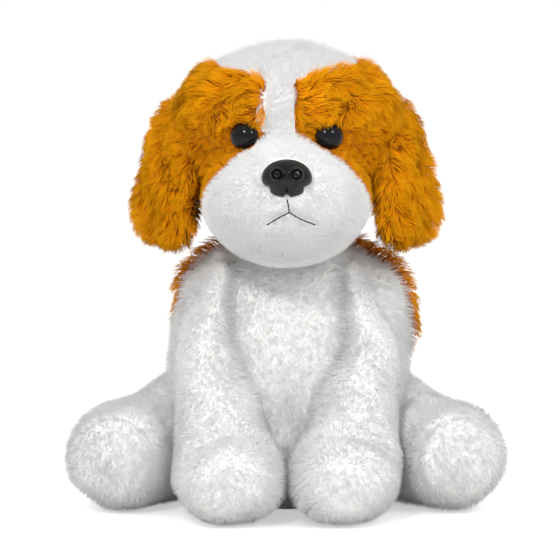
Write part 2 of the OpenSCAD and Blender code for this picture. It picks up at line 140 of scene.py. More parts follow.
def corners(*nodes):
    """Lowest and highest corner, in millimetres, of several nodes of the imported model."""
    boxes = [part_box(n) for n in nodes]
    return (np.min([b[0] for b in boxes], axis=0) / MM, np.max([b[1] for b in boxes], axis=0) / MM)


# ---- Shapes: each gives a point from a and b, 0 to 1, at a depth under the cloth's face -----

SIDES = {"left": -1, "right": 1}
seat_low, seat_high = corners("seat_panel")
SEAT = np.array([(seat_low[0] + seat_high[0]) / 2, (seat_low[1] + seat_high[1]) / 2, seat_low[2]])

# How far each skin lies under the cloth's face, and how far the fillings do
BODY_SKIN, HEAD_SKIN, LEG_SKIN, EAR_SKIN, TAIL_SKIN = 1.8, 2.2, 1.5, 3.2, 2.6
FILLING_DEPTH, TAIL_FILLING_DEPTH = 6.0, 5.0

# Height over the seat, middle along Y, half width and half depth
BODY_RINGS = np.array([
    [0, 0, 55, 50], [10, 1, 68, 59], [40, 1, 75, 62], [80, -3, 72, 57],
    [118, -8, 67, 49], [143, -10, 60, 38], [157, -15, 42.5, 24], [164, -20, 22, 16]], float)


def fuller_by(angle, high):
    """The filling is fuller behind the right shoulder: 13 exp(-(turn / 38)^2 - (rise / 36)^2) mm."""
    off = np.mod(angle - 15 + 180, 360) - 180
    return 13 * np.exp(-((off / 38) ** 2) - ((high - 124) / 36) ** 2)


CHEST_SQUARE = 2.4


def body_shape(a, b, depth=0.0):
    """Ellipses up the body, (w cos t, m + d sin t, h) with t = 2 pi b, drawn in to a point at both ends.
    Below the neck their front halves are squarer: scaled by (|cos t|^n + |sin t|^n)^(-1/n). Low down
    between the front legs the belly is 7 mm deeper."""
    s = np.clip((a - 0.08) / 0.86, 0, 1)
    shrink = np.clip(np.minimum(a / 0.08, (1 - a) / 0.06), 0, 1)
    ring = along(BODY_RINGS, s)
    t = TURN * b
    soft = 1.1 * waves(np.stack([60 * np.cos(t), 60 * np.sin(t), ring[..., 0]], -1), 34, 3)
    belly = 7 * rise(92, 50, ring[..., 0]) * rise(-0.93, -0.99, np.sin(t))
    deep = depth - (soft + fuller_by(np.degrees(t), ring[..., 0]) - belly) * shrink
    n = CHEST_SQUARE
    square = (np.abs(np.cos(t)) ** n + np.abs(np.sin(t)) ** n) ** (-1 / n)
    square = 1 + (square - 1) * (np.sin(t) < 0) * rise(152, 136, ring[..., 0])
    x = (ring[..., 2] - deep) * square * np.cos(t)
    y = (ring[..., 3] - deep) * square * np.sin(t)
    z = ring[..., 0] + np.where(a < 0.5, 1, -1) * depth * (1 - rise(0.3, 1, shrink))
    return SEAT + np.stack([x * shrink, ring[..., 1] + y * shrink, np.maximum(z, 0.4)], -1)


head_low, head_high = corners("crown_panel", "forehead_gusset", "chin_panel", "left_head_panel",
                              "right_head_panel", "left_muzzle_panel", "right_muzzle_panel")
HEAD_MID = np.array([0, head_high[1] - 58, head_high[2] - 74.1])
SKULL_R = np.array([61, 60, 60.5])
SKULL_AT = np.array([0, head_high[1] - 60, head_high[2] - 60.6])
MUZZLE_R = np.array([50, 60, 41])
MUZZLE_AT = np.array([0, head_low[1] + 60, head_low[2] + 41])


def heading(turn, lift):
    """(sin t cos l, -cos t cos l, sin l), angles in degrees: turn from the front to +X, lift upwards."""
    t, l = np.radians(turn), np.radians(lift)
    return np.stack([np.sin(t) * np.cos(l), -np.cos(t) * np.cos(l), np.sin(l)], -1)


def ray_out(way, middle, radii):
    """Where a ray from the head's middle leaves an ellipsoid: the larger root k of |p + k d| = 1."""
    p, d = (HEAD_MID - middle) / radii, way / radii
    a, b, c = (d * d).sum(-1), d @ p, p @ p - 1
    return (np.sqrt(b * b - a * c) - b) / a


# Brow and temple on each side: turn, rise, height, spread
SWELLINGS = [(33, 34, 4.0, 20), (80, 33, 8.0, 26)]


def head_radius(way):
    """Skull or muzzle, the larger, rounded where they meet by k ln(1 + exp(-|gap| / k)), and a bump
    h exp(-(angle / spread)^2) for each brow and temple."""
    skull, muzzle = ray_out(way, SKULL_AT, SKULL_R), ray_out(way, MUZZLE_AT, MUZZLE_R)
    out = np.maximum(skull, muzzle) + 2.5 * np.log1p(np.exp(-np.abs(skull - muzzle) / 2.5))
    for turn, lift, height, spread in SWELLINGS:
        for side in (1, -1):
            off = np.degrees(np.arccos(np.clip(way @ heading(side * turn, lift), -1, 1)))
            out = out + height * np.exp(-((off / spread) ** 2))
    return out


def strip_half(lift):
    """Half the white strip in front, in degrees: the muzzle's half ellipse below, its sloping shoulders, the
    blaze, then the crown."""
    low = np.minimum(9 + 47 * np.sqrt(np.maximum(1 - ((lift + 40) / 60) ** 2, 0)), 9 + 1.05 * (20 - lift))
    return np.where(lift < 20, low, 9 + 80 * rise(47, 56, lift))


def nape_half(lift):
    """Half the white strip behind, in degrees."""
    return 24 + 65 * rise(40, 66, lift)


FRONT_SHARE, SIDE_SHARE = 0.25, 0.42


def head_angles(a, b):
    """Lift = 180 a - 90; as b goes to 0.5, turn runs through the white strip, the orange side and the nape,
    then back on the other side."""
    lift = 180 * a - 90
    b = np.mod(b, 1)
    half = np.minimum(b, 1 - b)
    edge, nape = strip_half(lift), 180 - nape_half(lift)
    front = edge * half / FRONT_SHARE
    flank = edge + (nape - edge) * (half - FRONT_SHARE) / (SIDE_SHARE - FRONT_SHARE)
    back = nape + (180 - nape) * (half - SIDE_SHARE) / (0.5 - SIDE_SHARE)
    turn = np.where(half < FRONT_SHARE, front, np.where(half < SIDE_SHARE, flank, back))
    return np.where(b <= 0.5, turn, -turn), lift


def head_point(turn, lift, depth=0.0):
    """The head's middle plus its radius along the heading, less the depth."""
    way = heading(turn, lift)
    return HEAD_MID + way * (head_radius(way) - depth)[..., None]


def from_blaze(turn, lift):
    """How far a turn lies from the blaze's middle, in degrees: the blaze leans 4.5 degrees to the left."""
    return np.abs(turn + 4.5 * rise(4, 24, lift) * rise(66, 54, lift))


EYE_TURN, EYE_LIFT = 23, 18.5
EYE_R = 8.75
MOUTH_FORK = (0.8, -11.6)
MOUTH_LINES = [
    [(0, -7.4), (0.5, -9.4), MOUTH_FORK],
    [MOUTH_FORK, (-2.6, -13.4), (-6.9, -16.2)],
    [MOUTH_FORK, (4.6, -13.9), (10.0, -16.4)]]


def mouth_path(ends, steps):
    """(turn, lift) pairs along one line of the mouth, as a smooth curve through its three points."""
    pairs = along(np.array(ends, float), np.linspace(0, 1, steps))
    return pairs[:, 0], pairs[:, 1]


def head_shape(a, b, depth=0.0):
    """The head's surface with soft lumps, a shallow fold pressed in along the mouth, cheeks 3.4 mm deeper
    beside the eyes, and brows 2.8 mm prouder with a quick lower edge."""
    turn, lift = head_angles(a, b)
    way = heading(turn, lift)
    wide = np.abs(turn)
    soft = 0.7 * waves(way * 60, 30, 11)
    soft = soft - 3.4 * np.exp(-(((wide - 52) / 24) ** 2) - (((lift - 7) / 12) ** 2))
    brow = rise(19, 27, lift) * rise(60, 48, lift) * rise(9, 18, from_blaze(turn, lift)) * rise(92, 62, wide)
    soft = soft + 2.8 * brow
    fold = 0.0
    for ends in MOUTH_LINES:
        t, l = mouth_path(ends, 14)
        near = np.min(((turn[..., None] - t) ** 2 + (lift[..., None] - l) ** 2), axis=-1)
        fold = np.maximum(fold, 1.3 * np.exp(-near / 2.2))
    return HEAD_MID + way * (head_radius(way) - depth + soft - fold)[..., None]


def limb(rows, ref, s, angle, depth):
    """An ellipse across a curved spine, drawn in at its ends by (1 - |2s - 1|^3.4)^(1/3.4)."""
    length = np.linalg.norm(np.diff(rows[:, :3], axis=0), axis=1).sum()
    q = depth / length
    at = along(rows, q + s * (1 - 2 * q))
    ahead = along(rows, np.minimum(s + 0.02, 1))[..., :3] - along(rows, np.maximum(s - 0.02, 0))[..., :3]
    side = unit(np.cross(ahead, ref))
    up = unit(np.cross(side, ahead))
    taper = np.maximum(1 - np.abs(2 * s - 1) ** 3.4, 0) ** (1 / 3.4)
    across = ((at[..., 3] - depth) * taper * np.cos(angle))[..., None]
    high = ((at[..., 4] - depth) * taper * np.sin(angle))[..., None]
    return at[..., :3] + side * across + up * high


def limb_shape(nodes, rows, ref, side, lump=0.9, seed=5, fold=None):
    """A limb's shape on one side. Its rows are offsets from the low, inner corner of its nodes' box.
    fold gives how deep a seam pulls the cloth in, by the share along the limb and the angle round it."""
    low, high = corners(*nodes)
    inner = min(abs(low[0]), abs(high[0])) if side else 0.0
    rows = np.array(rows, float)
    rows[:, :3] += [inner, low[1], low[2]]

    def shape(a, b, depth=0.0):
        s = (1 - np.cos(math.pi * a)) / 2
        first = limb(rows, np.array(ref), s, TURN * b, 0 * s)
        soft = lump * waves(first, 28, seed)
        if fold is not None:
            soft = soft - fold(s, np.mod(b, 1) * 360)
        p = limb(rows, np.array(ref), s, TURN * b, depth - soft)
        p[..., 2] = np.maximum(p[..., 2], 0.3)
        return p * [side or 1, 1, 1]

    shape.rows = rows * [side or 1, 1, 1, 1, 1]
    return shape


# Limb spines: X, Y, Z, half width, half depth
FRONT_ROWS = [
    [32.7, 94, 149.4, 13, 18], [39.2, 88, 123.4, 15.5, 21], [44.2, 80, 97.4, 18.5, 23],
    [39.2, 72, 71.4, 24, 25], [35.7, 60, 43.4, 29, 28], [30.6, 36, 27.4, 36, 30],
    [29.6, 0, 26.9, 36, 29.5]]
HIND_ROWS = [
    [6.2, 92.2, 42.9, 34, 40], [27.2, 82.2, 41.9, 35, 40], [49.2, 63.2, 33.9, 34, 34],
    [66.2, 37.2, 33.4, 35, 33], [75.7, 3.2, 34.4, 35, 34.5]]


def sole_fold(s, angle):
    """The sole's seam under a front paw: 0.5 mm deep, 44 degrees to both sides of its lowest line."""
    edge = 44 * rise(0.60, 0.72, s)
    off = (np.abs(np.mod(angle, 360) - 270) - edge) * 0.5
    return 0.5 * np.exp(-((off / 2.0) ** 2)) * rise(0.66, 0.74, s)


def foot_fold(s, angle):
    """The seam round the oval sole of a hind foot: 1 mm deep at 0.93 of its length."""
    return 1.0 * np.exp(-(((s - 0.93) / 0.016) ** 2))


EAR_ROWS = [
    [8.8, 30.4, 86.7, 18, 7.5], [14.8, 28.4, 67.8, 22.5, 8.5], [18.3, 25.4, 46.3, 26, 8.5],
    [21.8, 23.4, 21.4, 30, 8.5], [23.8, 24.4, 0.7, 27, 8.5]]
TAIL_ROWS = [
    [0, 0, 10.6, 8, 8], [1, 11.2, 10.6, 11, 11], [5, 26.2, 14.6, 13, 13], [10, 39.2, 24.6, 12, 12],
    [14, 47.2, 34.6, 10, 10]]


# ---- Meshes -------------------------------------------------------------------

def put_mesh(name, points, faces, sizes, materials, uv, material_index=None, smooth=True, normals=None):
    """Puts whole arrays into one mesh: points in mm, all faces' corners in a row, each face's corner count,
    and, if given, the direction that each point is lit from."""
    mesh = bpy.data.meshes.new(name)
    mesh.vertices.add(len(points))
    mesh.vertices.foreach_set("co", (points * MM).astype(np.float32).ravel())
    mesh.loops.add(len(faces))
    mesh.loops.foreach_set("vertex_index", faces.astype(np.int32))
    mesh.polygons.add(len(sizes))
    mesh.polygons.foreach_set("loop_start", (np.cumsum(sizes) - sizes).astype(np.int32))
    layer = mesh.uv_layers.new(name=STRAND_MAP)
    layer.data.foreach_set("uv", uv.astype(np.float32).ravel())
    for m in materials:
        mesh.materials.append(m)
    mesh.update(calc_edges=True)
    mesh.polygons.foreach_set("use_smooth", np.full(len(sizes), smooth))
    if material_index is not None:
        mesh.polygons.foreach_set("material_index", material_index.astype(np.int32))
    if normals is not None:
        layer = mesh.attributes.new("custom_normal", "FLOAT_VECTOR", "POINT")
        layer.data.foreach_set("vector", normals.astype(np.float32).ravel())
    made = bpy.data.objects.new(name, mesh)
    bpy.context.scene.collection.objects.link(made)
    return made


def face_map(*corner_places):
    """The map of many faces at once: one row of (u, v) pairs for each face, from each corner's u and v."""
    return np.stack([np.stack([u, v], -1) for u, v in corner_places], 1)


def closed_skin(name, shape, depth, na, nb, materials, region=None):
    """A closed surface of na rings of nb points, with one point at each end. Its map is (b, a).
    The corners of each face run the way that makes the enclosed volume positive."""
    a, b = np.meshgrid(np.arange(1, na) / na, np.arange(nb) / nb, indexing="ij")
    grid = shape(a, b, depth)
    ends = shape(np.array([0.0, 1.0]), np.zeros(2), depth)
    points = np.concatenate([ends[:1], grid.reshape(-1, 3), ends[1:]])
    i, j = np.meshgrid(np.arange(na - 2), np.arange(nb), indexing="ij")
    i, j, k = i.ravel(), j.ravel(), (j.ravel() + 1) % nb
    quads = np.stack([1 + i * nb + j, 1 + i * nb + k, 1 + (i + 1) * nb + k, 1 + (i + 1) * nb + j], -1)
    u0, u1 = j / nb, (j + 1) / nb
    v0, v1 = (i + 1) / na, (i + 2) / na
    quad_uv = face_map((u0, v0), (u1, v0), (u1, v1), (u0, v1))
    r = np.arange(nb)
    n = (r + 1) % nb
    last = len(points) - 1
    first_fan = np.stack([0 * r, 1 + n, 1 + r], -1)
    last_fan = np.stack([1 + (na - 2) * nb + r, 1 + (na - 2) * nb + n, 0 * r + last], -1)
    u0, half, u1, v = r / nb, (r + 0.5) / nb, (r + 1) / nb, np.zeros(nb)
    first_uv = face_map((half, v), (u1, v + 1 / na), (u0, v + 1 / na))
    last_uv = face_map((u0, v + 1 - 1 / na), (u1, v + 1 - 1 / na), (half, v + 1))
    middle = points.mean(0)
    volume = np.einsum("ij,ij->", points[quads[:, 0]] - middle,
                       np.cross(points[quads[:, 1]] - middle, points[quads[:, 2]] - middle))
    parts = [(quads, quad_uv), (first_fan, first_uv), (last_fan, last_uv)]
    if volume < 0:
        parts = [(f[:, ::-1], t[:, ::-1]) for f, t in parts]
    faces = np.concatenate([f.ravel() for f, t in parts])
    uv = np.concatenate([t.reshape(-1, 2) for f, t in parts])
    sizes = np.concatenate([np.full(len(f), f.shape[1]) for f, t in parts])
    index = None
    if region is not None:
        centre_a = np.concatenate([(i + 1.5) / na, 0 * r + 0.5 / na, 0 * r + 1 - 0.5 / na])
        centre_b = np.concatenate([(j + 0.5) / nb, (r + 0.5) / nb, (r + 0.5) / nb])
        index = region(centre_a, centre_b)
    return put_mesh(name, points, faces, sizes, materials, uv, index)


# ---- Fur ------------------------------------------------------------------------

def scatter(shape, per_mm2, rng, na=90, nb=90):
    """(a, b) of points spread evenly over a shape: a cell of its grid by its area, then anywhere in it."""
    a, b = np.meshgrid(np.linspace(0, 1, na + 1), np.linspace(0, 1, nb + 1), indexing="ij")
    p = shape(a, b, 0.0)
    area = np.linalg.norm(np.cross(p[1:, 1:] - p[:-1, :-1], p[1:, :-1] - p[:-1, 1:]), axis=-1).ravel() / 2
    count = int(area.sum() * per_mm2)
    pick = np.searchsorted(np.cumsum(area) / area.sum(), rng.random(count))
    i, j = np.divmod(np.minimum(pick, na * nb - 1), nb)
    return (i + rng.random(count)) / na, (j + rng.random(count)) / nb


def stand(shape, a, b, depth):
    """Point, outward normal and the direction of growing a, from differences of the shape."""
    e = 2e-3
    p = shape(a, b, depth)
    da = shape(np.minimum(a + e, 1), b, depth) - shape(np.maximum(a - e, 0), b, depth)
    db = shape(a, b + e, depth) - shape(a, b - e, depth)
    up = unit(np.cross(da, db))
    outward = np.sign(((shape(a, b, depth - 1.0) - p) * up).sum(-1, keepdims=True))
    return p, up * np.where(outward == 0, 1, outward), unit(da)


def tuft_of(p, size, seed):
    """A number for each point's tuft: the nearest of a lattice's centres, each moved within its own cell."""
    cell = np.floor(p / size).astype(np.int64)
    best, label = np.full(len(p), np.inf), np.zeros(len(p), np.int64)
    for step in np.ndindex(3, 3, 3):
        c = cell + np.array(step) - 1
        key = (c[:, 0] * 73856093) ^ (c[:, 1] * 19349663) ^ (c[:, 2] * 83492791) ^ (seed * 2654435761)
        jitter = np.stack([((key * m) % 1000003) / 1000003 for m in (48271, 69621, 40692)], -1)
        far = (((c + jitter) * size - p) ** 2).sum(-1)
        nearer = far < best
        best, label = np.where(nearer, far, best), np.where(nearer, key, label)
    return np.unique(label, return_inverse=True)[1].ravel()


def combed(up, way, rise_deg, swing):
    """A unit direction: way laid on the surface, swung about its normal, then raised from it."""
    flat = unit(way - up * (way * up).sum(-1, keepdims=True))
    across = np.cross(up, flat)
    flat = flat * np.cos(swing)[:, None] + across * np.sin(swing)[:, None]
    high = np.radians(rise_deg)[:, None]
    return flat * np.cos(high) + up * np.sin(high)


# How much of a strand's lighting follows the cloth that it stands on; the rest follows its own roundness
SURFACE_SHARE = 0.86


def grow(name, p, up, way, length, width, material, rng, rise_first=50.0, rise_last=25.0,
         bent=False, tuft=5.0, pull=0.5, stray=0.18, swirl=0.35, swirl_size=26.0, seed=1, floor=0.35,
         keep=None, lit=None):
    """One closed three-sided spike for each point: a ring of three corners at the root, for long pile another
    halfway, and a tip. Tips are drawn to the middle of their tuft by the share pull. Strands are lit from
    the direction lit, or else from the cloth's own."""
    count = len(p)
    lit = up if lit is None else lit
    label = tuft_of(p, tuft, seed)
    tufts = label.max() + 1
    tuft_swing, tuft_shade = rng.normal(0, 0.22, tufts)[label], rng.random(tufts)[label]
    tuft_size = rng.uniform(0.84, 1.08, tufts)[label]
    swing = swirl * waves(p, swirl_size, seed + 7) * 2 + tuft_swing + rng.normal(0, stray, count)
    length = length * tuft_size * rng.uniform(0.82, 1.1, count)
    first = combed(up, way, rise_first + rng.normal(0, 8, count), swing)
    last = combed(up, way, rise_last + rng.normal(0, 9, count), swing)
    half = p + first * (length * 0.45)[:, None]
    tip = (half + last * (length * 0.55)[:, None]) if bent else p + first * length[:, None]
    middle = np.stack([np.bincount(label, tip[:, k], tufts) for k in range(3)], -1)
    middle = (middle / np.bincount(label, minlength=tufts)[:, None])[label]
    share = pull * rng.uniform(0.7, 1.1, count)[:, None]
    near = np.clip(1.6 - np.linalg.norm(middle - tip, axis=-1, keepdims=True) / (tuft * 1.1), 0, 1)
    tip = tip + (middle - tip) * share * near
    half = half + (middle - tip) * share * near * 0.25
    tip[:, 2], half[:, 2] = np.maximum(tip[:, 2], floor), np.maximum(half[:, 2], floor)
    if keep is not None:
        kept = keep(p, half, tip)
        p, half, tip, up, lit = p[kept], half[kept], tip[kept], up[kept], lit[kept]
        tuft_shade, count = tuft_shade[kept], int(kept.sum())
        width = width[kept] if np.ndim(width) else width
    axis = unit((half if bent else tip) - p)
    e1 = unit(np.cross(axis, rng.normal(size=(count, 3))))
    e2 = np.cross(axis, e1)
    width = (np.broadcast_to(width, count) * rng.uniform(0.8, 1.2, count))[:, None, None] / 2
    t = TURN * np.arange(3) / 3
    ring = e1[:, None] * np.cos(t)[None, :, None] + e2[:, None] * np.sin(t)[None, :, None]
    root = p - up * 0.5
    u = (0.6 * tuft_shade + 0.4 * rng.random(count))[:, None] * 0.96
    k = np.arange(3)[None, :]
    base_uv = np.stack([u + 0.01 * k, 0.01 * k + 0 * u], -1)
    tip_uv = np.stack([u + 0.01, np.ones_like(u)], -1)
    if bent:
        low_ring, high_ring = root[:, None] + ring * width * 0.8, half[:, None] + ring * width
        points = np.concatenate([low_ring, high_ring, tip[:, None]], 1)
        corner_uv = np.concatenate([base_uv, base_uv + [0, 0.5], tip_uv], 1)
        pattern = np.array([0, 1, 4, 3, 1, 2, 5, 4, 2, 0, 3, 5, 3, 4, 6, 4, 5, 6, 5, 3, 6, 2, 1, 0])
        pattern_sizes = [4, 4, 4, 3, 3, 3, 3]
    else:
        points = np.concatenate([root[:, None] + ring * width, tip[:, None]], 1)
        corner_uv = np.concatenate([base_uv, tip_uv], 1)
        pattern = np.array([0, 1, 3, 1, 2, 3, 2, 0, 3, 2, 1, 0])
        pattern_sizes = [3, 3, 3, 3]
    each = points.shape[1]
    lit = SURFACE_SHARE * lit[:, None] + (1 - SURFACE_SHARE) * unit(points - points.mean(1, keepdims=True))
    faces = (np.arange(count)[:, None] * each + pattern[None, :]).ravel()
    uv = corner_uv[:, pattern].reshape(-1, 2)
    made = put_mesh(name, points.reshape(-1, 3), faces, np.tile(pattern_sizes, count), [material], uv,
                    normals=unit(lit).reshape(-1, 3))
    print(f"{name}: {count} strands, {count * (10 if bent else 4)} triangles")
    return made


# ---- Materials ----------------------------------------------------------------------

def new_group(name, inputs, outputs):
    """An empty node group with named sockets, and its input and output nodes."""
    tree = bpy.data.node_groups.new(name, "ShaderNodeTree")
    for label, kind, value in inputs:
        socket = tree.interface.new_socket(name=label, in_out="INPUT", socket_type=kind)
        socket.default_value = value
    for label, kind in outputs:
        tree.interface.new_socket(name=label, in_out="OUTPUT", socket_type=kind)
    return tree, tree.nodes.new("NodeGroupInput"), tree.nodes.new("NodeGroupOutput")


def math_node(tree, operation, *values):
    """A Math node fed by numbers or sockets; gives its output socket."""
    node = tree.nodes.new("ShaderNodeMath")
    node.operation = operation
    for socket, value in zip(node.inputs, values):
        if isinstance(value, (int, float)):
            socket.default_value = value
        else:
            tree.links.new(value, socket)
    return node.outputs[0]


def colour_mix(tree, share, first, second):
    """A colour from first to second by share; each may be a colour or a socket."""
    node = tree.nodes.new("ShaderNodeMix")
    node.data_type = "RGBA"
    for socket, value in ((node.inputs["Factor"], share), (node.inputs[6], first), (node.inputs[7], second)):
        if isinstance(value, (int, float)):
            socket.default_value = value
        elif isinstance(value, tuple):
            socket.default_value = value
        else:
            tree.links.new(value, socket)
    return node.outputs[2]


def noise(tree, scale, detail=2.0, vector=None):
    """Noise on Object coordinates; gives its value socket."""
    if vector is None:
        vector = tree.nodes.new("ShaderNodeTexCoord").outputs["Object"]
    node = tree.nodes.new("ShaderNodeTexNoise")
    node.inputs["Scale"].default_value = scale
    node.inputs["Detail"].default_value = detail
    tree.links.new(vector, node.inputs["Vector"])
    return node.outputs["Fac"]


def ranged(tree, value, low, high, to_low=0.0, to_high=1.0):
    """A value mapped from one range to another, smoothly and clamped."""
    node = tree.nodes.new("ShaderNodeMapRange")
    node.interpolation_type = "SMOOTHSTEP"
    for socket, number in zip(node.inputs[1:5], (low, high, to_low, to_high)):
        socket.default_value = number
    tree.links.new(value, node.inputs[0])
    return node.outputs[0]


COLOUR, NUMBER = "NodeSocketColor", "NodeSocketFloat"


def make_pile_group():
    """A strand's colour: from root to middle to tip up its map's v, lighter or darker by its map's u,
    and by a broad patchiness over the toy."""
    tree, given, out = new_group(
        "pile_colour",
        [("Root", COLOUR, (1, 1, 1, 1)), ("Middle", COLOUR, (1, 1, 1, 1)), ("Tip", COLOUR, (1, 1, 1, 1)),
         ("Spread", NUMBER, 0.2), ("Patch", NUMBER, 0.1)],
        [("Color", COLOUR)])
    place = tree.nodes.new("ShaderNodeUVMap")
    place.uv_map = STRAND_MAP
    parts = tree.nodes.new("ShaderNodeSeparateXYZ")
    tree.links.new(place.outputs[0], parts.inputs[0])
    up_it = parts.outputs[1]
    # Where Root is darker than Tip, this darkening towards the root is painted shade deep in the pile.
    low = colour_mix(tree, ranged(tree, up_it, 0.05, 0.5), given.outputs["Root"], given.outputs["Middle"])
    whole = colour_mix(tree, ranged(tree, up_it, 0.45, 1.0), low, given.outputs["Tip"])
    off_shade = math_node(tree, "SUBTRACT", parts.outputs[0], 0.5)
    off_patch = math_node(tree, "SUBTRACT", noise(tree, 38.0), 0.5)
    shade = math_node(tree, "MULTIPLY", off_shade, given.outputs["Spread"])
    patch = math_node(tree, "MULTIPLY", off_patch, given.outputs["Patch"])
    value = math_node(tree, "ADD", math_node(tree, "ADD", shade, patch), 1.0)
    tone = tree.nodes.new("ShaderNodeHueSaturation")
    tree.links.new(value, tone.inputs["Value"])
    tree.links.new(whole, tone.inputs["Color"])
    tree.links.new(tone.outputs[0], out.inputs["Color"])
    return tree


def make_grain_group():
    """Grain of a surface: a colour between two by fine and broad noise, and a height for its bump."""
    tree, given, out = new_group(
        "surface_grain",
        [("Dark", COLOUR, (1, 1, 1, 1)), ("Light", COLOUR, (1, 1, 1, 1)), ("Fine", NUMBER, 900.0),
         ("Broad", NUMBER, 60.0)],
        [("Color", COLOUR), ("Height", NUMBER), ("Roughness", NUMBER)])
    place = tree.nodes.new("ShaderNodeTexCoord").outputs["Object"]
    values = []
    for size in ("Fine", "Broad"):
        node = tree.nodes.new("ShaderNodeTexNoise")
        node.inputs["Detail"].default_value = 3.0
        tree.links.new(place, node.inputs["Vector"])
        tree.links.new(given.outputs[size], node.inputs["Scale"])
        values.append(node.outputs["Fac"])
    fine, broad = math_node(tree, "MULTIPLY", values[0], 0.6), math_node(tree, "MULTIPLY", values[1], 0.4)
    both = math_node(tree, "ADD", fine, broad)
    shade = ranged(tree, both, 0.3, 0.7)
    colour = colour_mix(tree, shade, given.outputs["Dark"], given.outputs["Light"])
    tree.links.new(colour, out.inputs["Color"])
    tree.links.new(values[0], out.inputs["Height"])
    tree.links.new(ranged(tree, both, 0.3, 0.7, 0.75, 0.95), out.inputs["Roughness"])
    return tree


PILE_GROUP, GRAIN_GROUP = make_pile_group(), make_grain_group()


def new_material(name, roughness, specular):
    """A material with one Principled shader; gives the material, its tree and the shader."""
    made = bpy.data.materials.new(name)
    made.use_nodes = True
    tree = made.node_tree
    shader = next(n for n in tree.nodes if n.type == "BSDF_PRINCIPLED")
    shader.inputs["Roughness"].default_value = roughness
    shader.inputs["Specular IOR Level"].default_value = specular
    return made, tree, shader


def pile_material(name, root, middle, tip, spread, patch):
    """Strands of pile."""
    made, tree, shader = new_material(name, 0.7, 0.05)
    node = tree.nodes.new("ShaderNodeGroup")
    node.node_tree = PILE_GROUP
    for label, value in (("Root", root), ("Middle", middle), ("Tip", tip)):
        node.inputs[label].default_value = (*value, 1)
    node.inputs["Spread"].default_value, node.inputs["Patch"].default_value = spread, patch
    tree.links.new(node.outputs["Color"], shader.inputs["Base Color"])
    return made


def grain_material(name, dark, light, fine, broad, bump, roughness=None, specular=0.2):
    """A grained surface, with the grain's height as its bump. A given roughness is the same all over."""
    made, tree, shader = new_material(name, roughness or 0.8, specular)
    node = tree.nodes.new("ShaderNodeGroup")
    node.node_tree = GRAIN_GROUP
    node.inputs["Dark"].default_value, node.inputs["Light"].default_value = (*dark, 1), (*light, 1)
    node.inputs["Fine"].default_value, node.inputs["Broad"].default_value = fine, broad
    tree.links.new(node.outputs["Color"], shader.inputs["Base Color"])
    if roughness is None:
        tree.links.new(node.outputs["Roughness"], shader.inputs["Roughness"])
    lift = tree.nodes.new("ShaderNodeBump")
    lift.inputs["Strength"].default_value, lift.inputs["Distance"].default_value = bump, 0.0006
    tree.links.new(node.outputs["Height"], lift.inputs["Height"])
    tree.links.new(lift.outputs["Normal"], shader.inputs["Normal"])
    return made


# The darker root colours below are painted shade: the hue is the pile's own, the darkening towards the root
# stands for the shadow deep between strands and tufts.
WHITE_PILE = pile_material("white_pile", (0.89, 0.885, 0.87), (0.935, 0.935, 0.925),
                           (0.945, 0.945, 0.935), 0.03, 0.02)
WHITE_SHORT = pile_material("white_short_pile", (0.91, 0.905, 0.895), (0.945, 0.945, 0.94),
                            (0.955, 0.955, 0.95), 0.03, 0.02)
ORANGE_PILE = pile_material("orange_long_pile", (0.38, 0.085, 0.002), (0.88, 0.280, 0.0012),
                            (1.0, 0.445, 0.003), 0.42, 0.22)
WHITE_GROUND = grain_material("white_ground", (0.90, 0.895, 0.88), (0.95, 0.95, 0.94), 900, 70, 0.4)
# The orange ground's hue is the cloth's own. Its darkness is painted shade, so that the gaps between strands
# read as shadow in the fur.
ORANGE_GROUND = grain_material("orange_ground", (0.36, 0.11, 0.004), (0.66, 0.25, 0.008), 800, 120, 0.8)
FIBRE = grain_material("filling_fibre", (0.82, 0.82, 0.80), (0.92, 0.92, 0.91), 500, 60, 1.0)
POUCH = grain_material("pouch_cloth", (0.60, 0.64, 0.68), (0.74, 0.78, 0.81), 1400, 90, 0.8)
WHITE_THREAD = grain_material("white_thread", (0.72, 0.71, 0.68), (0.88, 0.87, 0.85), 2600, 300, 0.7)
BLACK_THREAD = grain_material("black_thread", (0.008, 0.008, 0.009), (0.035, 0.034, 0.036), 2600, 300, 0.8,
                              roughness=0.6)
WASHER = grain_material("washer_plastic", (0.70, 0.72, 0.72), (0.82, 0.83, 0.83), 300, 40, 0.2,
                        roughness=0.4, specular=0.5)
NOSE_PLASTIC = grain_material("nose_plastic", (0.002, 0.002, 0.0023), (0.006, 0.006, 0.0065), 500, 90, 0.05,
                              roughness=0.11, specular=0.25)


def make_eye_material():
    """A black pupil that fades to a dark brown rim with the map's v, polished."""
    made, tree, shader = new_material("eye_plastic", 0.13, 0.2)
    place = tree.nodes.new("ShaderNodeUVMap")
    place.uv_map = STRAND_MAP
    parts = tree.nodes.new("ShaderNodeSeparateXYZ")
    tree.links.new(place.outputs[0], parts.inputs[0])
    rim = ranged(tree, parts.outputs[1], 0.30, 0.56)
    mottle = ranged(tree, noise(tree, 900.0), 0.3, 0.7)
    brown = colour_mix(tree, mottle, (0.018, 0.0065, 0.0035, 1), (0.034, 0.012, 0.006, 1))
    tree.links.new(colour_mix(tree, rim, (0.003, 0.003, 0.0035, 1), brown), shader.inputs["Base Color"])
    return made


EYE_PLASTIC = make_eye_material()


# ---- Skins and fillings ----------------------------------------------------------------

def soft_piece(made, nodes):
    """Hides the model's nodes that a stuffed piece stands for, and gives the piece back."""
    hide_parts(*nodes)
    return made


def bend(pieces):
    """Bakes each piece's transform into its mesh's points."""
    for piece in pieces:
        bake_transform(piece)


def body_region(a, b):
    """1, orange, on the back, as far as 8 degrees forwards of the sides at the shoulders and 24 degrees
    behind them at the hips, lower down on the right, and 0, white, elsewhere."""
    high = along(BODY_RINGS, np.clip((a - 0.08) / 0.86, 0, 1))[..., 0]
    angle = np.mod(b * 360 + 8, 360)
    right, left = 32 * rise(114, 84, high), 196 - 32 * rise(128, 96, high)
    return ((angle > right) & (angle < left) & (a > 0.08)).astype(int)


